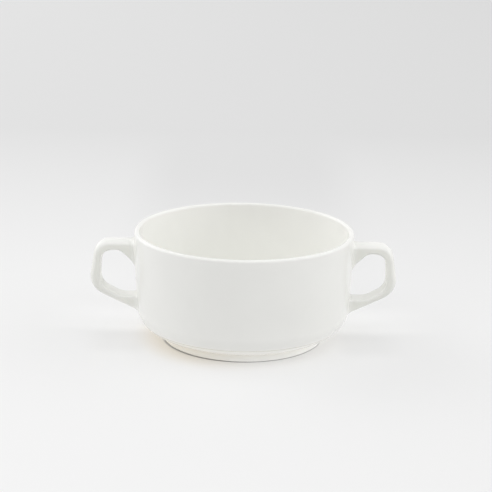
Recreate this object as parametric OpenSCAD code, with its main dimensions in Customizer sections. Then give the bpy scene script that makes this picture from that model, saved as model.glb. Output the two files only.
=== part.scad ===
// Two-handled soup bowl in glazed white porcelain, fired as one piece.
// Millimetres. The table is z = 0, the bowl's axis is z, and the handles lie along x.

/* [Bowl] */
// Outside diameter at the widest part of the rim
rim_diameter = 115; // [95:1:135]
// Height from the table to the top of the rim
bowl_height = 58.2; // [48:0.1:70]
// Thickness of the rounded lip
lip_thickness = 2.8; // [2:0.1:4]
// Outside diameter where the side turns in to the base
low_diameter = 111.6; // [95:0.2:130]
// How far the side swells out between the rim and the base
side_swell = 0.3; // [0:0.1:1.5]
// Outside radius of the turn from the side into the base
corner_radius = 12; // [8:0.5:18]
// Height of the fine step that runs round that turn
step_height = 9.9; // [8:0.1:12]
// Depth of the fine step
step_depth = 0.3; // [0.1:0.05:0.6]
// Wall thickness at the foot of the side
wall_thickness = 3.5; // [2.5:0.1:5]
// Inside radius between the side and the floor
inner_corner_radius = 11; // [6:0.5:18]
// Thickness of the floor inside the foot ring
floor_thickness = 4.2; // [3:0.1:6]

/* [Foot ring] */
// Outside diameter of the foot ring
foot_diameter = 84.8; // [70:0.2:92]
// Height of the body's underside above the table
foot_height = 5.2; // [3.5:0.1:8]
// Width of the foot ring
foot_width = 4.2; // [3:0.1:6]
// Depth of the hollow under the base
hollow_depth = 3.2; // [2:0.1:4.5]
// Radius of the foot ring's outer bottom edge
foot_edge = 1.1; // [0.5:0.1:1.5]
// Radius of the hollow bend between the underside and the foot ring
foot_cove = 0.9; // [0.4:0.1:1.2]
// Radius of the hollow bend inside the foot ring
inner_cove = 1.2; // [0.6:0.1:1.5]
// Radius of the foot ring's inner bottom edge
inner_foot_edge = 0.7; // [0.3:0.1:1]
// Slope of the foot ring's inner side, in degrees from upright
foot_draft = 20; // [5:1:30]

/* [Handles] */
// Distance between the outermost faces of the two handles
handle_span = 161; // [145:0.2:175]
// Height of the handles' top above the table
handle_top = 52.4; // [44:0.2:60]
// Height at which the lower bar's outer edges meet the side
handle_low = 14.8; // [12:0.2:20]
// Slope of the lower bar's outer face, in mm of rise per mm
handle_rise = 0.49; // [0.2:0.01:0.7]
// How far the outer side leans out from its top corner to its bottom corner
side_lean = 3.3; // [0:0.1:5]
// How far the bend between the top and the outer side reaches from its corner
top_bend = 7.5; // [5:0.5:9]
// How far the bend between the outer side and the lower bar reaches from its corner
low_bend = 7.5; // [3:0.5:9]
// Width of the strap
handle_width = 10.4; // [8:0.2:14]
// Thickness of the upper bar in the middle of the strap
upper_thickness = 5.3; // [4:0.1:6.5]
// Thickness of the outer bar in the middle of the strap
side_thickness = 5.5; // [4:0.1:6.5]
// How far the outer face swells above the strap's edges
handle_crown = 1.2; // [0.5:0.1:2]
// How far the outer edges are rounded down from the crowned face
edge_drop = 1.6; // [0.8:0.1:2]
// Radius of the edges on the finger side
inner_edge = 1.2; // [0.4:0.1:1.6]
// Radius of the hollow bends where the handles join the side
root_radius = 3; // [1.2:0.1:4]

/* [Finger gaps] */
// Height at which the upper bar's finger side meets the side
gap_shoulder = 39.7; // [34:0.1:46]
// How far the sloping finger side of the upper bar reaches out from the side
shoulder_run = 7.4; // [4:0.2:9]
// Height of the finger gap's floor
gap_floor = 22.2; // [18:0.2:28]
// How far the gap's outer side leans out from its top corner to its bottom corner
gap_lean = 0.9; // [0:0.1:2]
// Height of the slope between the gap's floor and its outer side
slope_rise = 5.9; // [4:0.1:8]
// Length of that slope along the floor
slope_run = 10.5; // [8:0.1:12]
// How far the gap's bend at the shoulder reaches from its corner
shoulder_bend = 2.5; // [1:0.5:4]
// How far the gap's bend at the top of its outer side reaches from its corner
gap_top_bend = 6.6; // [3:0.1:7]
// How far the gap's bend at the foot of its outer side reaches from its corner
gap_side_bend = 4.8; // [3:0.1:5.5]
// How far the gap's bend where the slope meets the floor reaches from its corner
gap_floor_bend = 3.5; // [2:0.5:5]

/* [Hidden] */

// Smoothness of the turned surfaces and of the handles' bends
turn_steps = 18;
under_steps = 10;
side_steps = 8;
side_margin = 4;
lip_steps = 14;
edge_steps = 5;
bend_steps = 8;
root_steps = 6;
crown_steps = 14;
inner_steps = 3;
$fn = 120;

rim_radius = rim_diameter / 2;
lip_radius = lip_thickness / 2;
low_radius = low_diameter / 2;
foot_radius = foot_diameter / 2;
corner_height = foot_height + corner_radius;
step_angle = -asin((corner_height - step_height) / corner_radius);
floor_height = hollow_depth + floor_thickness;
lip_height = bowl_height - lip_radius;
inner_low_radius = low_radius - wall_thickness;
inner_corner_height = floor_height + inner_corner_radius;

// The handles' outlines in their own upright plane, from the axis outwards and from the table up
reach = handle_span / 2 - handle_crown;
top_edge = handle_top - handle_crown;
gap_top = handle_top - upper_thickness;
gap_side = handle_span / 2 - side_thickness;
wall_top = side_radius((top_edge + gap_shoulder) / 2);
wall_low = side_radius((handle_low + gap_floor) / 2);
// The corners lie beyond the outermost points of the sides by what their bends cut off
gap_overshoot = 0.3;
reach_overshoot = 0.89;
// How far the outer corners are set off so that the strap's sections stand square to it
shoulder_offset = 0.6;
floor_offset = 1.6;
sharp_bend = 1.4;
// The outer face's oval, the roots' flare as shares of their radius, and how far they go into the wall
oval_power = 2 / 2.15;
flare_down = 0.3;
flare_up = 0.18;
root_depth = 1.6;
root_sink = 0.12;

// Corners of the finger side and of the outer side, in pairs: x, z and how far the bend reaches each way
gap_corner = gap_side + gap_overshoot;
outer_corner = reach + reach_overshoot;
floor_corner = gap_corner - slope_run;
inner_corners = [
    [wall_top, gap_shoulder, 0],
    [wall_top + shoulder_run, gap_top, shoulder_bend],
    [gap_corner - gap_lean, gap_top, gap_top_bend],
    [gap_corner, gap_floor + slope_rise, gap_side_bend],
    [floor_corner, gap_floor, gap_floor_bend],
    [wall_low, gap_floor, 0],
];
outer_corners = [
    [wall_top, top_edge, 0],
    [wall_top + shoulder_run + shoulder_offset, top_edge, sharp_bend],
    [outer_corner - side_lean, top_edge, top_bend],
    [outer_corner, low_line(outer_corner), low_bend],
    [floor_corner + floor_offset, low_line(floor_corner + floor_offset), sharp_bend],
    [wall_low, handle_low, 0],
];

// Height of the lower bar's outer side at a distance from the axis
function low_line(x) = handle_low + handle_rise * (x - wall_low);

// Outside radius of the bowl's side at a height
function side_radius(z) =
    let (w = (lip_height - z) / (lip_height - corner_height))
    z >= corner_height
        ? rim_radius + (low_radius - rim_radius) * w + side_swell * 4 * w * (1 - w)
        : low_radius - corner_radius + sqrt(corner_radius ^ 2 - (corner_height - z) ^ 2);

// Points of an arc, from one angle to another
function arc(x, z, r, from, to, steps) =
    [for (i = [0 : steps]) let (a = from + (to - from) * i / steps) [x + r * cos(a), z + r * sin(a)]];

// Points of the turn from the underside up to the side: the fine step's edge is rounded by its depth
function turn_points() =
    let (x = low_radius - corner_radius, round_angle = step_depth / corner_radius * 180 / PI)
    concat(
        [for (i = [0 : under_steps])
            let (t = i / under_steps, a = -90 + (step_angle + 90) * t, r = corner_radius - step_depth * t)
            [x + r * cos(a), corner_height + r * sin(a)]],
        [for (i = [1 : edge_steps - 1])
            let (
                t = 90 * i / edge_steps,
                a = step_angle + round_angle * (1 - cos(t)),
                r = corner_radius - step_depth * (1 - sin(t))
            )
            [x + r * cos(a), corner_height + r * sin(a)]],
        arc(x, corner_height, corner_radius, step_angle + round_angle, 0, side_steps)
    );

// Points of the swelling side between two heights
function side_points(from, to, steps) =
    [for (i = [0 : steps]) let (z = from + (to - from) * i / steps) [side_radius(z), z]];

// Points of the inner side from the lip down to the inner corner, swelling as the outer side does
function inner_side_points(steps) =
    let (top_radius = rim_radius - lip_thickness)
    [
        for (i = [1 : steps])
            let (w = i / (steps + 1))
            [
                top_radius + (inner_low_radius - top_radius) * w + side_swell * 4 * w * (1 - w),
                lip_height + (inner_corner_height - lip_height) * w,
            ]
    ];

// The turned body's half section, walked round from the foot ring's contact face
module bowl_section() {
    edge_x = foot_radius - foot_width + inner_foot_edge;
    bends = inner_cove + inner_foot_edge;
    cove_x = edge_x - (bends + (hollow_depth - bends) * sin(foot_draft)) / cos(foot_draft);
    polygon(concat(
        // outside, from the foot ring's contact face up to the lip
        arc(foot_radius - foot_edge, foot_edge, foot_edge, -90, 0, edge_steps),
        arc(foot_radius + foot_cove, foot_height - foot_cove, foot_cove, 180, 90, edge_steps),
        turn_points(),
        side_points(corner_height + side_margin, lip_height - side_margin, side_steps),
        // over the lip and down the inside to the floor
        arc(rim_radius - lip_radius, lip_height, lip_radius, 0, 180, lip_steps),
        inner_side_points(side_steps),
        arc(inner_low_radius - inner_corner_radius, inner_corner_height, inner_corner_radius, 0, -90, turn_steps),
        [[0, floor_height]],
        // under the base, out to the foot ring's inner side
        [[0, hollow_depth]],
        arc(cove_x, hollow_depth - inner_cove, inner_cove, 90, foot_draft, edge_steps),
        arc(edge_x, inner_foot_edge, inner_foot_edge, 180 + foot_draft, 270, edge_steps)
    ));
}

module body() {
    rotate_extrude()
        bowl_section();
}

function unit(v) = v / norm(v);

// A bend between two straight runs, starting and ending at the corner's own distance from it
function bend(corners, k, steps) =
    let (
        p = [corners[k][0], corners[k][1]],
        before = unit([corners[k - 1][0], corners[k - 1][1]] - p),
        after = unit([corners[k + 1][0], corners[k + 1][1]] - p),
        start = p + corners[k][2] * before,
        end = p + corners[k][2] * after
    )
    [for (i = [0 : steps]) let (t = i / steps) (1 - t) ^ 2 * start + 2 * t * (1 - t) * p + t ^ 2 * end];

function all_bends(corners) = [for (k = [1 : len(corners) - 2]) each bend(corners, k, bend_steps)];

// Straight line through the first two or the last two corners, as a height at x
function height_on(a, b, x) = a[1] + (b[1] - a[1]) * (x - a[0]) / (b[0] - a[0]);

// The strap's section, walked round as distances along its width and up from the finger side.
// Its outer face is a flattened oval, and its finger side is flat with rounded edges.
function strap_section(width, thick) =
    let (half = width / 2, low = thick - edge_drop, high = edge_drop + handle_crown)
    concat(
        [for (i = [0 : crown_steps])
            let (a = 180 * i / crown_steps, c = cos(a), s = sin(a))
            [half * sign(c) * abs(c) ^ oval_power, low + high * s ^ oval_power]],
        arc(-half + inner_edge, inner_edge, inner_edge, 180, 270, inner_steps),
        arc(half - inner_edge, inner_edge, inner_edge, 270, 360, inner_steps)
    );

// One cross-section of the strap in space, between a point of the finger side and one of the outer side
function ring_between(inner, outer, width) =
    let (across = outer - inner, thick = norm(across), up = across / thick)
    [for (p = strap_section(width, thick))
        [inner[0] + up[0] * p[1], p[0], inner[1] + up[1] * p[1]]];

// One cross-section near the side, at a distance off it and following its round: it opens out sideways,
// and less so up and down
function root_ring(off, spread, a, b, c, d) =
    let (
        wall = (a[0] + c[0]) / 2,
        x = wall + off,
        low = min(height_on(a, b, x), height_on(c, d, x)) - spread * flare_down,
        high = max(height_on(a, b, x), height_on(c, d, x)) + spread * flare_up,
        flip = height_on(a, b, x) > height_on(c, d, x) ? -1 : 1,
        from = flip > 0 ? low : high
    )
    [for (p = strap_section(handle_width + 2 * spread, high - low))
        let (z = from + flip * p[1], r = side_radius(min(z, lip_height)) + off)
        [sqrt(r ^ 2 - p[0] ^ 2), p[0], z]];

// A root: one section buried in the wall, then a hollow bend, sunk so that it crosses the side at an angle
function root_rings(a, b, c, d) = concat(
    [root_ring(-root_depth, root_radius, a, b, c, d)],
    [for (i = [0 : root_steps])
        let (t = 90 * i / root_steps)
        root_ring(root_radius * (1 - cos(t)) - root_sink, root_radius * (1 - sin(t)), a, b, c, d)]
);

function reversed(list) = [for (i = [len(list) - 1 : -1 : 0]) list[i]];

// A closed skin over sections that all have the same number of points
module skin(rings) {
    n = len(rings[0]);
    last = len(rings) - 1;
    points = [for (ring = rings) each ring];
    sides = [
        for (k = [0 : last - 1], i = [0 : n - 1])
            let (j = (i + 1) % n, a = k * n + i, b = k * n + j, c = a + n, d = b + n)
            each [[a, c, b], [b, c, d]]
    ];
    polyhedron(
        points = points,
        faces = concat(
            sides,
            [for (i = [1 : n - 2]) [0, i, i + 1]],
            [for (i = [1 : n - 2]) [last * n, last * n + i + 1, last * n + i]]
        ),
        convexity = 8
    );
}

module handle() {
    inner = all_bends(inner_corners);
    outer = all_bends(outer_corners);
    last = len(inner_corners) - 1;
    skin(concat(
        root_rings(inner_corners[0], inner_corners[1], outer_corners[0], outer_corners[1]),
        [for (i = [0 : len(inner) - 1]) ring_between(inner[i], outer[i], handle_width)],
        reversed(root_rings(
            inner_corners[last], inner_corners[last - 1],
            outer_corners[last], outer_corners[last - 1]
        ))
    ));
}

module bowl() {
    color("white")
    union() {
        body();
        handle();
        rotate([0, 0, 180])
            handle();
    }
}

bowl();
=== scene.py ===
"""Looks of the two-handled soup bowl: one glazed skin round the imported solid, in soft studio light.

The skin has the solid's form with finer curves. It is a turned body, whose side is cut open at each
root and joined there to a strap handle, so that the glaze runs on without a seam.
Sizes are in millimetres, and MM turns them into Blender's metres.
"""

import math

import bmesh
import bpy
import numpy as np
from mathutils import Matrix, Vector
from mathutils.geometry import delaunay_2d_cdt


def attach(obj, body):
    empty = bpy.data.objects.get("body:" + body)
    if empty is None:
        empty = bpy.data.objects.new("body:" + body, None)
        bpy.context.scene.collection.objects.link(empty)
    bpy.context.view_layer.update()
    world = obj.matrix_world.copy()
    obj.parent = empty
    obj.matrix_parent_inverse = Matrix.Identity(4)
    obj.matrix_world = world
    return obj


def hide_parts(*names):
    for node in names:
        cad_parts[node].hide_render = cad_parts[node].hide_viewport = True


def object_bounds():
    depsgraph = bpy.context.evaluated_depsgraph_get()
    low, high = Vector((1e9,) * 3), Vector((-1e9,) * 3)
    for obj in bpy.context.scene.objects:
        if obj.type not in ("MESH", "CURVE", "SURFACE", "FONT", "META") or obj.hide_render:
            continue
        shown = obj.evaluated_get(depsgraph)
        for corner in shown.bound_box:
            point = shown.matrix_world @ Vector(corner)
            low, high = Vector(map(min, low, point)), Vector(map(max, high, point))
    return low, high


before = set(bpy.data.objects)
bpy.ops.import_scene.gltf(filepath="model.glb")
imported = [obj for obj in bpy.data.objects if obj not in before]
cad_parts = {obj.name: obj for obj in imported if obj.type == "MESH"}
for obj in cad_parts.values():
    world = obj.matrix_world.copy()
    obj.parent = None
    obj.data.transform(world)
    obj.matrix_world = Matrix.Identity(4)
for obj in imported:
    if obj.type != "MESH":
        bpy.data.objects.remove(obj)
cad_low, cad_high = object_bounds()
MM = 0.001

# Body
BOWL_HEIGHT = (cad_high.z - cad_low.z) / MM
RIM_RADIUS = 57.5
LIP_THICKNESS = 2.8
LOW_RADIUS = 55.8
SIDE_SWELL = 0.3
CORNER_RADIUS = 12
STEP_HEIGHT = 9.9
STEP_DEPTH = 0.3
WALL_THICKNESS = 3.5
INNER_CORNER_RADIUS = 11
FLOOR_THICKNESS = 4.2

# Foot ring
FOOT_RADIUS = 42.4
FOOT_HEIGHT = 5.2
FOOT_WIDTH = 4.2
HOLLOW_DEPTH = 3.2
FOOT_EDGE = 1.1
FOOT_COVE = 0.9
INNER_COVE = 1.2
INNER_FOOT_EDGE = 0.7
FOOT_DRAFT = 20  # degrees from upright, on the ring's inner side

# Handles
HANDLE_REACH = 80.5
HANDLE_TOP = 52.4
HANDLE_LOW = 14.8
HANDLE_RISE = 0.49  # of the lower bar's outer side, for each millimetre outwards
SIDE_LEAN = 3.3
TOP_BEND = 7.5
LOW_BEND = 7.5
HANDLE_WIDTH = 10.4
UPPER_THICKNESS = 5.3
SIDE_THICKNESS = 5.5
HANDLE_CROWN = 1.2
EDGE_DROP = 1.6
INNER_EDGE = 1.2
ROOT_RADIUS = 3

# Finger gaps
GAP_SHOULDER = 39.7
SHOULDER_RUN = 7.4
GAP_FLOOR = 22.2
GAP_LEAN = 0.9
SLOPE_RISE = 5.9
SLOPE_RUN = 10.5
SHOULDER_BEND = 2.5
GAP_TOP_BEND = 6.6
GAP_SIDE_BEND = 4.8
GAP_FLOOR_BEND = 3.5

# How far the corners of the handles' outlines lie beyond the rounded bends that replace them
GAP_OVERSHOOT = 0.3
REACH_OVERSHOOT = 0.89

# The outer side bends slightly over the gap's shoulder and under its floor, so much further out
SHOULDER_OFFSET = 0.6
FLOOR_OFFSET = 1.6
SHARP_BEND = 1.4

# The strap's crown is an oval a little fuller than an ellipse, whose power would be 1
OVAL_POWER = 2 / 2.15

# Shares of a root's flare that go to its lower and its upper side
FLARE_DOWN = 0.3
FLARE_UP = 0.18

# Derived from the sizes above
LIP_RADIUS = LIP_THICKNESS / 2
LIP_HEIGHT = BOWL_HEIGHT - LIP_RADIUS
CORNER_HEIGHT = FOOT_HEIGHT + CORNER_RADIUS
FLOOR_HEIGHT = HOLLOW_DEPTH + FLOOR_THICKNESS
INNER_LOW_RADIUS = LOW_RADIUS - WALL_THICKNESS
INNER_CORNER_HEIGHT = FLOOR_HEIGHT + INNER_CORNER_RADIUS
INNER_TOP_RADIUS = RIM_RADIUS - LIP_THICKNESS

# Fineness of the skin: columns round the bowl, and steps along each stretch
COLUMNS = 240
WALL_ROWS = 60
CORNER_STEPS = 14
STEP_STEPS = 5
ABOVE_STEP_STEPS = 2
EDGE_STEPS = 6
LIP_STEPS = 20
INNER_ROWS = 34
INNER_CORNER_STEPS = 18
FLAT_STEPS = 8
CROWN_STEPS = 32
STRAP_SIDE_STEPS = 4
STRAP_EDGE_STEPS = 5
STRAP_FLAT_STEPS = 8
BEND_STEPS = 16
ROOT_STEPS = 10
RUN_STEP = 2.0  # millimetres between two sections on a straight run

# Height at which the rows of the wall start
WALL_START = 10.6

# A window in the wall joins it to a handle's roots. It reaches so many columns to each side, and the
# wall's own points keep this far off a root
WINDOW_COLUMNS = 7
CLEAR_OF_ROOT = 0.55

# The window's triangulation fills the whole hull of its points, and takes two this close as one
WHOLE_HULL = 0
SAME_PLACE = 1e-6

# Thickness of the glaze, from -1 for thin to 1 for pooled, to which painted shade in the pooled colour
# is added: darker further down inside the bowl and on the handles' faces that don't face up. A round of
# BEND_RADIUS counts in full
BEND_RADIUS = 2.2
COAT_AND_SHADE_SMOOTHING = 6
PAINTED_SHADE_UNDER_RIM = -0.8
PAINTED_SHADE_ON_INNER_FLOOR = 0.55
PAINTED_SHADE_ON_HANDLES = 1.0


def swell(share):
    """How far the side swells out at a share of its height, most of all at half height."""
    return SIDE_SWELL * 4 * share * (1 - share)


def side_radius(z):
    """Outside radius of the bowl's side at a height."""
    if z < CORNER_HEIGHT:
        return LOW_RADIUS - CORNER_RADIUS + math.sqrt(CORNER_RADIUS**2 - (CORNER_HEIGHT - z) ** 2)
    share = (LIP_HEIGHT - z) / (LIP_HEIGHT - CORNER_HEIGHT)
    return RIM_RADIUS + (LOW_RADIUS - RIM_RADIUS) * share + swell(share)


def arc(x, z, radius, start, end, steps):
    """Points of an arc, from one angle to another in degrees."""
    angles = np.radians(np.linspace(start, end, steps + 1))
    return [(x + radius * math.cos(a), z + radius * math.sin(a)) for a in angles]


def spread(start, end, steps):
    """Points from start to end, without end itself."""
    return [tuple(np.array(start) + (np.array(end) - start) * i / steps) for i in range(steps)]


def stepped_turn():
    """Angles and radii of the turn into the base: drawn in slowly, then let out in the fine step."""
    step_angle = -math.asin((CORNER_HEIGHT - STEP_HEIGHT) / CORNER_RADIUS)
    turn = []
    for t in np.linspace(0, 1, CORNER_STEPS + 1):
        angle = -math.pi / 2 + (step_angle + math.pi / 2) * t
        turn.append((angle, CORNER_RADIUS - STEP_DEPTH * t))
    for t in np.linspace(0, math.pi / 2, STEP_STEPS + 1)[1:]:
        angle = step_angle + STEP_DEPTH / CORNER_RADIUS * (1 - math.cos(t))
        turn.append((angle, CORNER_RADIUS - STEP_DEPTH * (1 - math.sin(t))))
    return turn


def underside():
    """Profile from under the middle of the base, round the foot ring, to the start of the wall."""
    edge_x = FOOT_RADIUS - FOOT_WIDTH + INNER_FOOT_EDGE
    rounds = INNER_COVE + INNER_FOOT_EDGE
    draft = math.radians(FOOT_DRAFT)
    cove_x = edge_x - (rounds + (HOLLOW_DEPTH - rounds) * math.sin(draft)) / math.cos(draft)
    corner_x = LOW_RADIUS - CORNER_RADIUS
    turn = stepped_turn()
    step_end = math.degrees(turn[-1][0])
    wall_angle = -math.degrees(math.asin((CORNER_HEIGHT - WALL_START) / CORNER_RADIUS))
    return (
        spread((0, HOLLOW_DEPTH), (cove_x, HOLLOW_DEPTH), FLAT_STEPS)
        + arc(cove_x, HOLLOW_DEPTH - INNER_COVE, INNER_COVE, 90, FOOT_DRAFT, EDGE_STEPS)
        + arc(edge_x, INNER_FOOT_EDGE, INNER_FOOT_EDGE, 180 + FOOT_DRAFT, 270, EDGE_STEPS)
        + arc(FOOT_RADIUS - FOOT_EDGE, FOOT_EDGE, FOOT_EDGE, -90, 0, EDGE_STEPS)
        + arc(FOOT_RADIUS + FOOT_COVE, FOOT_HEIGHT - FOOT_COVE, FOOT_COVE, 180, 90, EDGE_STEPS)
        + [(corner_x + r * math.cos(a), CORNER_HEIGHT + r * math.sin(a)) for a, r in turn]
        + arc(corner_x, CORNER_HEIGHT, CORNER_RADIUS, step_end, wall_angle, ABOVE_STEP_STEPS)[1:-1]
    )


def wall_rows():
    """Profile of the outside wall, from where the turn into the base is steep up to the lip."""
    return [(side_radius(z), z) for z in np.linspace(WALL_START, LIP_HEIGHT, WALL_ROWS + 1)]


def inside():
    """Profile over the lip and down to the middle of the floor inside."""
    lip = arc(RIM_RADIUS - LIP_RADIUS, LIP_HEIGHT, LIP_RADIUS, 0, 180, LIP_STEPS)[1:]
    side = []
    for i in range(1, INNER_ROWS):
        share = i / INNER_ROWS
        x = INNER_TOP_RADIUS + (INNER_LOW_RADIUS - INNER_TOP_RADIUS) * share + swell(share)
        side.append((x, LIP_HEIGHT + (INNER_CORNER_HEIGHT - LIP_HEIGHT) * share))
    corner_x = INNER_LOW_RADIUS - INNER_CORNER_RADIUS
    corner = arc(corner_x, INNER_CORNER_HEIGHT, INNER_CORNER_RADIUS, 0, -90, INNER_CORNER_STEPS)
    floor = spread((corner_x, FLOOR_HEIGHT), (0, FLOOR_HEIGHT), FLAT_STEPS)[1:]
    return lip + side + corner + floor + [(0, FLOOR_HEIGHT)]


def low_line(x):
    """Height of the lower bar's outer side at a distance from the axis."""
    return HANDLE_LOW + HANDLE_RISE * (x - side_radius((HANDLE_LOW + GAP_FLOOR) / 2))


def handle_corners():
    """Corners of the finger side and of the outer side, in pairs: x, z and how far the bend reaches."""
    top_edge = HANDLE_TOP - HANDLE_CROWN
    gap_top = HANDLE_TOP - UPPER_THICKNESS
    gap_corner = HANDLE_REACH - SIDE_THICKNESS + GAP_OVERSHOOT
    outer_corner = HANDLE_REACH - HANDLE_CROWN + REACH_OVERSHOOT
    floor_corner = gap_corner - SLOPE_RUN
    wall_top = side_radius((top_edge + GAP_SHOULDER) / 2)
    wall_low = side_radius((HANDLE_LOW + GAP_FLOOR) / 2)
    floor_end = floor_corner + FLOOR_OFFSET
    inner = [
        (wall_top, GAP_SHOULDER, 0),
        (wall_top + SHOULDER_RUN, gap_top, SHOULDER_BEND),
        (gap_corner - GAP_LEAN, gap_top, GAP_TOP_BEND),
        (gap_corner, GAP_FLOOR + SLOPE_RISE, GAP_SIDE_BEND),
        (floor_corner, GAP_FLOOR, GAP_FLOOR_BEND),
        (wall_low, GAP_FLOOR, 0),
    ]
    outer = [
        (wall_top, top_edge, 0),
        (wall_top + SHOULDER_RUN + SHOULDER_OFFSET, top_edge, SHARP_BEND),
        (outer_corner - SIDE_LEAN, top_edge, TOP_BEND),
        (outer_corner, low_line(outer_corner), LOW_BEND),
        (floor_end, low_line(floor_end), SHARP_BEND),
        (wall_low, HANDLE_LOW, 0),
    ]
    return inner, outer


def bends(corners):
    """Points of every bend along an outline, each from its start to its end."""
    found = []
    for before, corner, after in zip(corners, corners[1:], corners[2:]):
        p = Vector(corner[:2])
        start = p + (Vector(before[:2]) - p).normalized() * corner[2]
        end = p + (Vector(after[:2]) - p).normalized() * corner[2]
        for t in np.linspace(0, 1, BEND_STEPS + 1).tolist():
            found.append((1 - t) ** 2 * start + 2 * t * (1 - t) * p + t**2 * end)
    return found


def height_on(run, x):
    """Height at x on the straight run between two corners."""
    (x0, z0, _), (x1, z1, _) = run
    return z0 + (z1 - z0) * (x - x0) / (x1 - x0)


def strap_section(width, thick):
    """The strap's section, walked round: distances along its width and up from the finger side."""
    half = width / 2
    low = thick - EDGE_DROP
    high = EDGE_DROP + HANDLE_CROWN
    crown = []
    for angle in np.linspace(0, math.pi, CROWN_STEPS + 1):
        c = math.cos(angle)
        x = half * math.copysign(abs(c) ** OVAL_POWER, c)
        crown.append((x, low + high * abs(math.sin(angle)) ** OVAL_POWER))
    inner = half - INNER_EDGE
    return (
        crown
        + spread((-half, low), (-half, INNER_EDGE), STRAP_SIDE_STEPS)[1:]
        + arc(-inner, INNER_EDGE, INNER_EDGE, 180, 270, STRAP_EDGE_STEPS)
        + spread((-inner, 0), (inner, 0), STRAP_FLAT_STEPS)[1:]
        + arc(inner, INNER_EDGE, INNER_EDGE, 270, 360, STRAP_EDGE_STEPS)
        + spread((half, INNER_EDGE), (half, low), STRAP_SIDE_STEPS)[1:]
    )


def ring_between(inner, outer):
    """One section of the strap, between a point of the finger side and one of the outer side."""
    across = outer - inner
    up = across.normalized()
    section = strap_section(HANDLE_WIDTH, across.length)
    return [(inner.x + up.x * h, w, inner.y + up.y * h) for w, h in section]


def root_ring(off, flare, finger_run, outer_run):
    """One section at a distance off the side, which follows the side's round and opens by a flare."""
    x = (finger_run[0][0] + outer_run[0][0]) / 2 + off
    finger = height_on(finger_run, x)
    outer = height_on(outer_run, x)
    low = min(finger, outer) - flare * FLARE_DOWN
    high = max(finger, outer) + flare * FLARE_UP
    ring = []
    for w, h in strap_section(HANDLE_WIDTH + 2 * flare, high - low):
        z = high - h if finger > outer else low + h
        r = side_radius(min(z, LIP_HEIGHT)) + off
        ring.append((math.sqrt(r**2 - w**2), w, z))
    return ring


def root_rings(finger_run, outer_run):
    """The hollow bend from the side to the strap, which leaves the one and meets the other smoothly."""
    rings = []
    for t in np.linspace(0, math.pi / 2, ROOT_STEPS + 1):
        off = ROOT_RADIUS * (1 - math.cos(t))
        flare = ROOT_RADIUS * (1 - math.sin(t))
        rings.append(root_ring(off, flare, finger_run, outer_run))
    return rings


def handle_rings():
    """Every section of one handle, from its upper root to its lower one, evenly set on long runs."""
    inner, outer = handle_corners()
    rings = root_rings(inner[:2], outer[:2])
    rings += [ring_between(i, o) for i, o in zip(bends(inner), bends(outer))]
    rings += root_rings(inner[:-3:-1], outer[:-3:-1])[::-1]
    filled = [np.array(rings[0])]
    for ring in rings[1:]:
        last = filled[-1]
        across = np.array(ring) - last
        steps = max(1, round(np.linalg.norm(across, axis=1).mean() / RUN_STEP))
        filled += [last + across * i / steps for i in range(1, steps + 1)]
    return filled


def lies_in(point, loop):
    """Whether a flat point lies inside a closed loop of flat points."""
    x, y = point
    odd = False
    for (x0, y0), (x1, y1) in zip(loop, loop[1:] + loop[:1]):
        if (y0 > y) != (y1 > y) and x < x0 + (x1 - x0) * (y - y0) / (y1 - y0):
            odd = not odd
    return odd


def clear_of(loops, point):
    """Whether a flat point lies outside all the loops, and not close to any corner of theirs."""
    for loop in loops:
        nearest = min(math.dist(point, corner) for corner in loop)
        if nearest < CLEAR_OF_ROOT or lies_in(point, loop):
            return False
    return True


class Skin:
    """Points and faces of the bowl's surface, gathered piece by piece."""

    def __init__(self):
        self.points = []
        self.faces = []

    def add(self, points):
        """Adds points and gives their numbers."""
        first = len(self.points)
        self.points.extend(tuple(p) for p in points)
        return list(range(first, len(self.points)))

    def turned(self, radius, z):
        """Adds a ring round the axis, or the one point on it."""
        if radius == 0:
            return self.add([(0, 0, z)])
        angles = [2 * math.pi * i / COLUMNS for i in range(COLUMNS)]
        return self.add([(radius * math.cos(a), radius * math.sin(a), z) for a in angles])

    def join(self, a, b, skip=()):
        """Faces between two closed rings, or between a ring and the single point at its middle."""
        count = max(len(a), len(b))
        for i in range(count):
            if i in skip:
                continue
            j = (i + 1) % count
            face = [a[i % len(a)], a[j % len(a)], b[j % len(b)], b[i % len(b)]]
            self.faces.append(list(dict.fromkeys(face)))

    def unrolled(self, loop, turn):
        """A root's loop in the wall's unrolled plane: distances along the rim and heights."""
        points = [self.points[k] for k in loop]
        return [(math.atan2(turn * y, turn * x) * RIM_RADIUS, z) for x, y, z in points]

    def window(self, rows, centre, loops, turn):
        """The stretch of wall round one handle's roots, triangulated in its unrolled plane."""
        flat_loops = [self.unrolled(loop, turn) for loop in loops]
        step = 2 * math.pi * RIM_RADIUS / COLUMNS
        flat = []
        ids = []
        for i, row in enumerate(rows):
            for c in range(-WINDOW_COLUMNS, WINDOW_COLUMNS + 1):
                vertex = row[(centre + c) % COLUMNS]
                place = (c * step, self.points[vertex][2])
                on_border = i in (0, len(rows) - 1) or abs(c) == WINDOW_COLUMNS
                if on_border or clear_of(flat_loops, place):
                    flat.append(place)
                    ids.append(vertex)
        edges = []
        for loop, places in zip(loops, flat_loops):
            first = len(flat)
            flat.extend(places)
            ids.extend(loop)
            edges += [(first + i, first + (i + 1) % len(loop)) for i in range(len(loop))]
        vectors = [Vector(place) for place in flat]
        found = delaunay_2d_cdt(vectors, edges, [], WHOLE_HULL, SAME_PLACE, True)
        faces, origins = found[2:4]
        for face in faces:
            corners = [origins[k][0] for k in face]
            middle = np.mean([flat[k] for k in corners], axis=0)
            if not any(lies_in(middle, loop) for loop in flat_loops):
                self.faces.append([ids[k] for k in corners])


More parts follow.
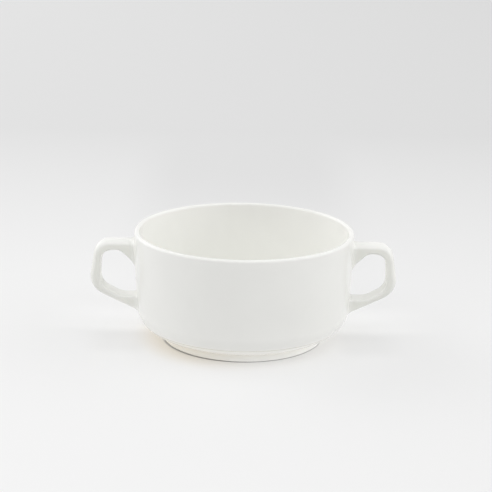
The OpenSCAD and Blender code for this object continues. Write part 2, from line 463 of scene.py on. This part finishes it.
def make_skin():
    """The bowl's whole surface: the turned body, and a handle on each side of it."""
    skin = Skin()
    lower = [skin.turned(r, z) for r, z in underside()]
    wall = [skin.turned(r, z) for r, z in wall_rows()]
    upper = [skin.turned(r, z) for r, z in inside()]
    centres = {1: 0, -1: COLUMNS // 2}
    opened = set()
    for centre in centres.values():
        opened |= {(centre + c) % COLUMNS for c in range(-WINDOW_COLUMNS, WINDOW_COLUMNS)}
    for a, b in zip(lower, lower[1:] + wall[:1]):
        skin.join(a, b)
    for a, b in zip(wall, wall[1:]):
        skin.join(a, b, opened)
    for a, b in zip([wall[-1]] + upper, upper):
        skin.join(a, b)
    sections = handle_rings()
    for turn, centre in centres.items():
        rings = [skin.add(section * (turn, turn, 1)) for section in sections]
        for a, b in zip(rings, rings[1:]):
            skin.join(a, b)
        skin.window(wall, centre, (rings[0], rings[-1]), turn)
    return skin


def off_side(point):
    """Distance outwards from the bowl's side, or 0 for the foot and the underside."""
    radius = math.hypot(point.x, point.y) / MM
    z = point.z / MM
    if z < FLOOR_HEIGHT - LIP_RADIUS:
        return 0.0
    return radius - side_radius(min(z, LIP_HEIGHT))


def painted_shade_at(point, facing_up):
    """Painted shade by place alone: inside, from the thin colour under the rim to darker further down,
    and on the handles, darker on faces that don't face up.
    """
    off = off_side(point)
    # Painted shade inside the bowl: darker further down
    if off < -LIP_RADIUS:
        depth = max(0.0, (LIP_HEIGHT - point.z / MM) / (LIP_HEIGHT - FLOOR_HEIGHT))
        return PAINTED_SHADE_UNDER_RIM + (PAINTED_SHADE_ON_INNER_FLOOR - PAINTED_SHADE_UNDER_RIM) * depth
    # Painted shade on the handles: darker on faces that don't face up
    return PAINTED_SHADE_ON_HANDLES * max(0.0, min(1.0, off / ROOT_RADIUS)) * (1 - max(0.0, facing_up))


def bend_at(vertex):
    """How sharply the surface bends at a point, above 0 on edges and below 0 in hollows."""
    found = []
    for edge in vertex.link_edges:
        other = edge.other_vert(vertex)
        across = other.co - vertex.co
        found.append((other.normal - vertex.normal).dot(across) / across.length_squared)
    return sum(found) / len(found)


def smoothed(bm, values):
    """The points' values, each averaged with those of the points next to it."""
    means = []
    for v in bm.verts:
        near = [values[edge.other_vert(v).index] for edge in v.link_edges]
        means.append((values[v.index] + sum(near)) / (len(near) + 1))
    return means


def coat_and_shade_of(bm):
    """The glaze's thickness at each point, which draws off edges and pools in hollows, together with
    the painted shade by place.
    """
    bm.normal_update()
    bm.verts.index_update()
    coat_and_shade = [painted_shade_at(v.co, v.normal.z) - bend_at(v) * BEND_RADIUS * MM for v in bm.verts]
    for _ in range(COAT_AND_SHADE_SMOOTHING):
        coat_and_shade = smoothed(bm, coat_and_shade)
    return [max(-1.0, min(1.0, c)) for c in coat_and_shade]


def make_bowl():
    """The skin as one closed mesh object, with the glaze's thickness and painted shade, and which
    points lie outside.
    """
    skin = make_skin()
    mesh = bpy.data.meshes.new("bowl_skin")
    mesh.from_pydata([Vector(p) * MM for p in skin.points], [], skin.faces)
    bm = bmesh.new()
    bm.from_mesh(mesh)
    loose = [v for v in bm.verts if not v.link_faces]
    bmesh.ops.delete(bm, geom=loose, context="VERTS")
    bmesh.ops.recalc_face_normals(bm, faces=bm.faces)
    open_edges = sum(not e.is_manifold for e in bm.edges)
    print("bowl skin:", len(bm.verts), "points,", len(bm.faces), "faces,", open_edges, "open edges")
    for face in bm.faces:
        face.smooth = True
    coat_and_shade = coat_and_shade_of(bm)
    outside = [float(off_side(v.co) >= -LIP_RADIUS) for v in bm.verts]
    bm.to_mesh(mesh)
    bm.free()
    for name, values in (("coat_and_shade", coat_and_shade), ("outside", outside)):
        mesh.attributes.new(name, "FLOAT", "POINT").data.foreach_set("value", values)
    bowl = bpy.data.objects.new("bowl_skin", mesh)
    bpy.context.scene.collection.objects.link(bowl)
    return bowl


class Nodes:
    """Short ways to add nodes to a material or world."""

    def __init__(self, owner):
        owner.use_nodes = True
        self.tree = owner.node_tree
        self.tree.nodes.clear()

    def add(self, kind, inputs=None, **settings):
        """A node with its settings and inputs, each of which is a constant or another node's output."""
        node = self.tree.nodes.new(kind)
        for name, value in settings.items():
            setattr(node, name, value)
        for name, value in (inputs or {}).items():
            if isinstance(value, bpy.types.NodeSocket):
                self.tree.links.new(value, node.inputs[name])
            else:
                node.inputs[name].default_value = value
        return node

    def math(self, operation, a, b=0.0):
        """The result of one sum, such as ADD."""
        return self.add("ShaderNodeMath", {0: a, 1: b}, operation=operation).outputs[0]

    def product(self, first, *others):
        """All the values multiplied together."""
        for other in others:
            first = self.math("MULTIPLY", first, other)
        return first

    def ramp(self, value, start, end, low=0.0, high=1.0, kind="SMOOTHSTEP"):
        """Turns start into low and end into high, with a smooth or LINEAR passage and no overshoot."""
        limits = {"Value": value, 1: start, 2: end, 3: low, 4: high}
        return self.add("ShaderNodeMapRange", limits, interpolation_type=kind).outputs[0]

    def mix(self, share, a, b):
        """One value turned into another by a share."""
        return self.add("ShaderNodeMix", {0: share, 2: a, 3: b}).outputs[0]

    def mix_colours(self, share, a, b):
        """One colour turned into another by a share."""
        return self.add("ShaderNodeMix", {0: share, 6: a, 7: b}, data_type="RGBA").outputs[2]

    def dot(self, vector, direction):
        """How far a vector goes in a direction."""
        node = self.add("ShaderNodeVectorMath", {0: vector, 1: direction}, operation="DOT_PRODUCT")
        return node.outputs["Value"]

    def length(self, vector):
        """A vector's length."""
        return self.add("ShaderNodeVectorMath", {0: vector}, operation="LENGTH").outputs["Value"]

    def parts(self, vector):
        """A vector's x, y and z."""
        return list(self.add("ShaderNodeSeparateXYZ", {0: vector}).outputs)

    def noise(self, place, size, detail):
        """Smooth noise with spots of about a size in millimetres."""
        inputs = {"Vector": place, "Scale": 1 / (size * MM), "Detail": detail}
        return self.add("ShaderNodeTexNoise", inputs).outputs[0]

    def attribute(self, name):
        """A value that the mesh carries at its points."""
        return self.add("ShaderNodeAttribute", attribute_name=name).outputs["Fac"]

    def bump(self, height, depth, normal=None, strength=1.0):
        """The surface's direction with a relief of a depth in millimetres, on top of another relief."""
        inputs = {"Height": height, "Distance": depth * MM, "Strength": strength}
        if normal is not None:
            inputs["Normal"] = normal
        return self.add("ShaderNodeBump", inputs).outputs[0]


# Glaze: white, greener where it pools, and a little warmer where it lies thin. The pooled colour also
# paints shade further down inside the bowl and on the handles. A darker, warmer painted shade lies on
# the foot and on the turn above it
GLAZE_COLOUR = (0.93, 0.93, 0.90, 1)
POOLED_AND_SHADE_COLOUR = (0.885, 0.89, 0.832, 1)
THIN_COLOUR = (0.93, 0.925, 0.90, 1)
FOOT_SHADE_COLOUR = (0.90, 0.877, 0.825, 1)
GLAZE_ROUGHNESS = 0.15
GLAZE_INDEX = 1.5

# A fine painted shade line under the step, where its overhang shades the turn
STEP_SHADE_COLOUR = (0.80, 0.78, 0.71, 1)
STEP_SHADE_WIDTH = 0.9

# Slow changes of the glaze's tone, gloss and level, and its fine peel
CLOUD_SIZE = 22
CLOUD_DEPTH = 0.015
GLOSS_SIZE = 9
GLOSS_SPREAD = 0.05
WAVE_SIZE = 15
WAVE_DEPTH = 0.05
PEEL_SIZE = 1.3
PEEL_DEPTH = 0.0016

# Bare clay, where the foot ring touches the table. The glaze's edge wanders a little
CLAY_COLOUR = (0.72, 0.69, 0.62, 1)
PALE_CLAY_COLOUR = (0.80, 0.77, 0.70, 1)
CLAY_ROUGHNESS = 0.75
CLAY_GRAIN = 0.35
CLAY_DEPTH = 0.02
BARE_RADIUS = 40.1
BARE_HALF_WIDTH = 1.35
BARE_HEIGHT = 0.3
BARE_FADE = 0.12
WANDER = 0.35
WANDER_SIZE = 6

# Layers of the noise, and the limits that most of it and nearly all of it lie between
SMOOTH = 1.0
PLAIN = 2.0
CLOUDY = 3.0
GRAINY = 4.0
MOST = (0.3, 0.7)
NEARLY_ALL = (0.2, 0.8)


def glaze_colour(nodes, place):
    """The glaze's colour by its thickness and painted shade, with painted warm shade on the foot and a
    painted shade line under the step.
    """
    coat_and_shade = nodes.attribute("coat_and_shade")
    outside = nodes.attribute("outside")
    height = nodes.parts(place)[2]
    pooled_and_shade = nodes.math("MAXIMUM", coat_and_shade, 0.0)
    thin = nodes.math("MAXIMUM", nodes.math("MULTIPLY", coat_and_shade, -1.0), 0.0)
    tint = nodes.mix_colours(pooled_and_shade, GLAZE_COLOUR, POOLED_AND_SHADE_COLOUR)
    tint = nodes.mix_colours(thin, tint, THIN_COLOUR)
    # Painted warm shade, darker and warmer than the glaze, on the foot and the turn above it
    below = nodes.ramp(height, FOOT_HEIGHT * MM, STEP_HEIGHT * MM, 1.0, 0.0)
    above = nodes.ramp(height, FOOT_EDGE * MM, FOOT_HEIGHT * MM)
    tint = nodes.mix_colours(nodes.product(below, above, outside), tint, FOOT_SHADE_COLOUR)
    # Painted shade line just under the step
    line = nodes.ramp(height, (STEP_HEIGHT - STEP_SHADE_WIDTH) * MM, STEP_HEIGHT * MM)
    under = nodes.math("LESS_THAN", height, (STEP_HEIGHT + STEP_DEPTH / 2) * MM)
    tint = nodes.mix_colours(nodes.product(line, under, outside), tint, STEP_SHADE_COLOUR)
    cloud = nodes.ramp(nodes.noise(place, CLOUD_SIZE, CLOUDY), *MOST, 1 - CLOUD_DEPTH, 1.0)
    shade = nodes.add("ShaderNodeVectorMath", {0: tint, "Scale": cloud}, operation="SCALE")
    return shade.outputs[0]


def bare_ring(nodes, place):
    """1 on the foot ring's contact face, which is wiped clean of glaze, and 0 elsewhere."""
    x, y, height = nodes.parts(place)
    flat = nodes.add("ShaderNodeCombineXYZ", {0: x, 1: y}).outputs[0]
    off = nodes.math("SUBTRACT", nodes.length(flat), BARE_RADIUS * MM)
    noise = nodes.noise(place, WANDER_SIZE, PLAIN)
    wander = nodes.ramp(noise, *NEARLY_ALL, -WANDER * MM, WANDER * MM)
    off = nodes.math("ADD", nodes.math("ABSOLUTE", off), wander)
    start = (BARE_HALF_WIDTH - BARE_FADE) * MM
    end = (BARE_HALF_WIDTH + BARE_FADE) * MM
    low = nodes.ramp(height, BARE_HEIGHT * MM / 2, BARE_HEIGHT * MM, 1.0, 0.0)
    return nodes.product(nodes.ramp(off, start, end, 1.0, 0.0), low)


def glaze():
    """White glaze with slow waves, fine peel, pooling in the hollows, painted shade, and the foot's
    bare ring.
    """
    material = bpy.data.materials.new("white_glaze")
    nodes = Nodes(material)
    place = nodes.add("ShaderNodeTexCoord").outputs["Object"]
    bare = bare_ring(nodes, place)
    grain = nodes.noise(place, CLAY_GRAIN, GRAINY)
    clay = nodes.mix_colours(nodes.ramp(grain, *MOST), CLAY_COLOUR, PALE_CLAY_COLOUR)
    colour = nodes.mix_colours(bare, glaze_colour(nodes, place), clay)
    glossiest = GLAZE_ROUGHNESS - GLOSS_SPREAD / 2
    dullest = GLAZE_ROUGHNESS + GLOSS_SPREAD / 2
    gloss = nodes.ramp(nodes.noise(place, GLOSS_SIZE, CLOUDY), *MOST, glossiest, dullest)
    rough = nodes.mix(bare, gloss, CLAY_ROUGHNESS)
    wave = nodes.bump(nodes.noise(place, WAVE_SIZE, SMOOTH), WAVE_DEPTH)
    peel = nodes.bump(nodes.noise(place, PEEL_SIZE, SMOOTH), PEEL_DEPTH, wave)
    sand = nodes.bump(grain, CLAY_DEPTH, peel, bare)
    inputs = {"Base Color": colour, "Roughness": rough, "IOR": GLAZE_INDEX, "Normal": sand}
    shader = nodes.add("ShaderNodeBsdfPrincipled", inputs)
    nodes.add("ShaderNodeOutputMaterial", {"Surface": shader.outputs[0]})
    return material


# Stage: a pale table that glows a little, with no glow under the bowl. It lights the bowl with its
# own colour and glow, and the camera sees it with a paler colour and less glow
WHITE = (1, 1, 1, 1)
FLOOR_SIZE = 8000
FLOOR_COLOUR = 0.34
FLOOR_GLOW = 0.4
SEEN_COLOUR = 0.6
SEEN_GLOW = 0.266
GLOW_START = 41.7
GLOW_FULL = 42.6

# Round the foot the table lights the bowl with more glow, which the camera doesn't see
NEAR_GLOW = 0.36
NEAR_START = 44
NEAR_END = 76

# Painted light on the table: it gets dimmer towards the back and the right, and a painted soft shadow
# of the bowl dims a place far behind it
BACK_DIM = 0.17
BACK_START = 20
BACK_END = 530
RIGHT_DIM = 0.045
RIGHT_REACH = 400
BEHIND_SHADOW_DIM = 0.055
BEHIND_WIDTH = 95
BEHIND_MIDDLE = 330
BEHIND_END = 560

# Near the foot's left side a warm painted shadow: the table is warmer and dimmer there, and the contact
# shadow is a little wider
WARM_SHADOW_COLOUR = (1, 0.90, 0.74, 1)
WARM_LEFT = -42
WARM_RIGHT = 12
WARM_END = 60
WARM_SHADOW_DIM = 0.12
WARM_SHIFT = 0.8

# Painted light and shadow that the camera sees on the table on both sides of the bowl: a paler patch of
# painted light behind the handles, and a painted shadow under them. Each has four limits across, from
# the axis, and four in depth, from the handles' plane. It is full between the two middle limits
BESIDE_PAINTED_LIGHT = 0.11
BESIDE_ACROSS = (10, 30, 50, 115)
BESIDE_DEPTH = (0, 12, 28, 62)
SHADE_GLOW = -0.036
SHADE_ACROSS = (46, 56, 68, 88)
SHADE_DEPTH = (-36, -20, -4, 5)


def seen_ray(nodes):
    """1 for what the camera sees, straight, in gloss or through glass, and 0 for light on its way."""
    path = nodes.add("ShaderNodeLightPath")
    straight = nodes.math("MAXIMUM", path.outputs["Is Camera Ray"], path.outputs["Is Glossy Ray"])
    return nodes.math("MAXIMUM", straight, path.outputs["Is Transmission Ray"])


def painted_table_light(nodes, x, y):
    """A factor for the table's brightness at a place: painted falloff of light towards the back and
    right, and a painted shadow far behind the bowl.
    """
    back = nodes.ramp(y, BACK_START * MM, BACK_END * MM, 1.0, 1 - BACK_DIM, "LINEAR")
    reach = RIGHT_REACH * MM
    right = nodes.ramp(x, -reach, reach, 1 + RIGHT_DIM, 1 - RIGHT_DIM, "LINEAR")
    aside = nodes.math("ABSOLUTE", x)
    # Painted soft shadow of the bowl, far behind it
    behind = nodes.product(
        nodes.ramp(aside, BEHIND_WIDTH * MM / 2, BEHIND_WIDTH * MM, BEHIND_SHADOW_DIM, 0.0),
        nodes.ramp(y, 0.0, BEHIND_MIDDLE * MM),
        nodes.ramp(y, BEHIND_END * MM, BEHIND_MIDDLE * MM),
    )
    return nodes.product(back, right, nodes.math("SUBTRACT", 1.0, behind))


def seen_glow(nodes, x, y):
    """The table's glow as the camera sees it, with painted light and painted shadow on both sides of
    the bowl.
    """

    def between(value, limits):
        start, full, last, end = (limit * MM for limit in limits)
        return nodes.product(nodes.ramp(value, start, full), nodes.ramp(value, last, end, 1.0, 0.0))

    # Painted light behind the handles and painted shadow under them
    aside = nodes.math("ABSOLUTE", x)
    beside = nodes.product(between(aside, BESIDE_ACROSS), between(y, BESIDE_DEPTH), BESIDE_PAINTED_LIGHT)
    shade = nodes.product(between(aside, SHADE_ACROSS), between(y, SHADE_DEPTH), SHADE_GLOW)
    return nodes.math("ADD", shade, nodes.math("ADD", beside, SEEN_GLOW))


def make_floor():
    """The table, with no glow of its own under the bowl."""
    bpy.ops.mesh.primitive_plane_add(size=FLOOR_SIZE * MM)
    floor = bpy.context.object
    floor.name = "floor"
    material = bpy.data.materials.new("floor")
    nodes = Nodes(material)
    place = nodes.add("ShaderNodeNewGeometry").outputs["Position"]
    x, y, _ = nodes.parts(place)
    radius = nodes.length(place)
    seen = seen_ray(nodes)
    tone = painted_table_light(nodes, x, y)
    colour = nodes.product(tone, nodes.mix(seen, FLOOR_COLOUR, SEEN_COLOUR))
    matt = nodes.add("ShaderNodeBsdfDiffuse", {"Color": colour})
    lighting = nodes.ramp(radius, NEAR_START * MM, NEAR_END * MM, FLOOR_GLOW + NEAR_GLOW, FLOOR_GLOW)
    glow = nodes.mix(seen, lighting, seen_glow(nodes, x, y))
    # Painted warm shadow near the foot's left side
    leftwards = nodes.ramp(x, WARM_LEFT * MM, WARM_RIGHT * MM, 1.0, 0.0)
    shifted = nodes.math("SUBTRACT", radius, nodes.product(leftwards, WARM_SHIFT * MM))
    clear = nodes.ramp(shifted, GLOW_START * MM, GLOW_FULL * MM)
    near = nodes.ramp(radius, NEAR_START * MM, WARM_END * MM, 1.0, 0.0)
    warm_shadow = nodes.product(leftwards, near)
    kept = nodes.math("SUBTRACT", 1.0, nodes.product(warm_shadow, WARM_SHADOW_DIM))
    strength = nodes.product(tone, kept, clear, glow)
    tint = nodes.mix_colours(warm_shadow, WHITE, WARM_SHADOW_COLOUR)
    shine = nodes.add("ShaderNodeEmission", {"Color": tint, "Strength": strength})
    both = nodes.add("ShaderNodeAddShader", {0: matt.outputs[0], 1: shine.outputs[0]})
    nodes.add("ShaderNodeOutputMaterial", {"Surface": both.outputs[0]})
    floor.data.materials.append(material)


# Camera, as the photograph was taken: it aims at a height on the bowl's axis, is then turned right,
# tilted up and leant to the left by small angles, and all angles are in degrees
CAMERA_DISTANCE = 799.2
CAMERA_ELEVATION = 19.50
CAMERA_TARGET = 30
CAMERA_YAW = 0.08
CAMERA_PITCH = 1.34
CAMERA_ROLL = 1.01
CAMERA_LENS = 109.42
SENSOR_WIDTH = 36


def make_camera():
    """The photograph's camera."""
    elevation = math.radians(CAMERA_ELEVATION)
    place = Vector((0, -math.cos(elevation), math.sin(elevation))) * CAMERA_DISTANCE
    forward = (Vector((0, 0, CAMERA_TARGET)) - place).normalized()
    right = forward.cross(Vector((0, 0, 1))).normalized()
    up = right.cross(forward)
    turn = Matrix.Rotation(-math.radians(CAMERA_YAW), 3, up)
    forward, right = turn @ forward, turn @ right
    tilt = Matrix.Rotation(math.radians(CAMERA_PITCH), 3, right)
    forward, up = tilt @ forward, tilt @ up
    lean = Matrix.Rotation(-math.radians(CAMERA_ROLL), 3, forward)
    right, up = lean @ right, lean @ up
    facing = Matrix((right, up, -forward)).transposed().to_4x4()
    camera = bpy.data.objects.new("camera", bpy.data.cameras.new("camera"))
    camera.data.sensor_width = SENSOR_WIDTH
    camera.data.lens = CAMERA_LENS
    camera.matrix_world = Matrix.Translation(place * MM) @ facing
    bpy.context.scene.collection.objects.link(camera)
    bpy.context.scene.camera = camera


# Soft lights all round: heading from the camera's side towards +X and height above the table, both
# in degrees, and strength. The focus is the power of a cosine: the higher, the smaller the light
LIGHT_FOCUS = 10
LIGHTS = (
    (80, 10, 2.15),
    (160, 10, 0.8),
    (200, 10, 0.75),
    (240, 10, 0.65),
    (280, 10, 0.1),
    (120, 30, 1.35),
    (240, 30, 2.0),
    (300, 30, 1.45),
    (0, 55, 1.8),
    (60, 55, 1.05),
    (180, 55, 0.15),
    (300, 55, 0.25),
)

# The overhead light ends right above the bowl, and lies on the side away from the camera
OVERHEAD_FOCUS = 16
OVERHEAD_STRENGTH = 0.77
OVERHEAD_EDGE = 0.04

# Brightness of the plain backdrop
BACKDROP = 0.76


def make_world():
    """The lights as one sky. The camera sees a plain backdrop in its place, and the glaze sees both."""
    world = bpy.data.worlds.new("studio")
    bpy.context.scene.world = world
    nodes = Nodes(world)
    direction = nodes.add("ShaderNodeTexCoord").outputs["Generated"]
    total = 0.0
    for heading, height, strength in LIGHTS:
        heading = math.radians(heading)
        height = math.radians(height)
        level = math.cos(height)
        towards = (level * math.sin(heading), -level * math.cos(heading), math.sin(height))
        share = nodes.math("MAXIMUM", nodes.dot(direction, towards), 0.0)
        light = nodes.product(nodes.math("POWER", share, LIGHT_FOCUS), strength)
        total = nodes.math("ADD", light, total)
    _, y, z = nodes.parts(direction)
    overhead = nodes.math("POWER", nodes.math("MAXIMUM", z, 0.0), OVERHEAD_FOCUS)
    side = nodes.ramp(y, -OVERHEAD_EDGE, OVERHEAD_EDGE, kind="LINEAR")
    total = nodes.math("ADD", nodes.product(overhead, side, OVERHEAD_STRENGTH), total)
    lit = nodes.math("MAXIMUM", total, nodes.product(seen_ray(nodes), BACKDROP))
    straight = nodes.add("ShaderNodeLightPath").outputs["Is Camera Ray"]
    strength = nodes.mix(straight, lit, BACKDROP)
    sky = nodes.add("ShaderNodeBackground", {"Color": WHITE, "Strength": strength})
    nodes.add("ShaderNodeOutputWorld", {"Surface": sky.outputs[0]})


make_camera()
bowl = make_bowl()
bowl.data.materials.append(glaze())
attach(bowl, "root")
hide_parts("bowl")
make_floor()
make_world()
bpy.context.scene.view_settings.view_transform = "Standard"
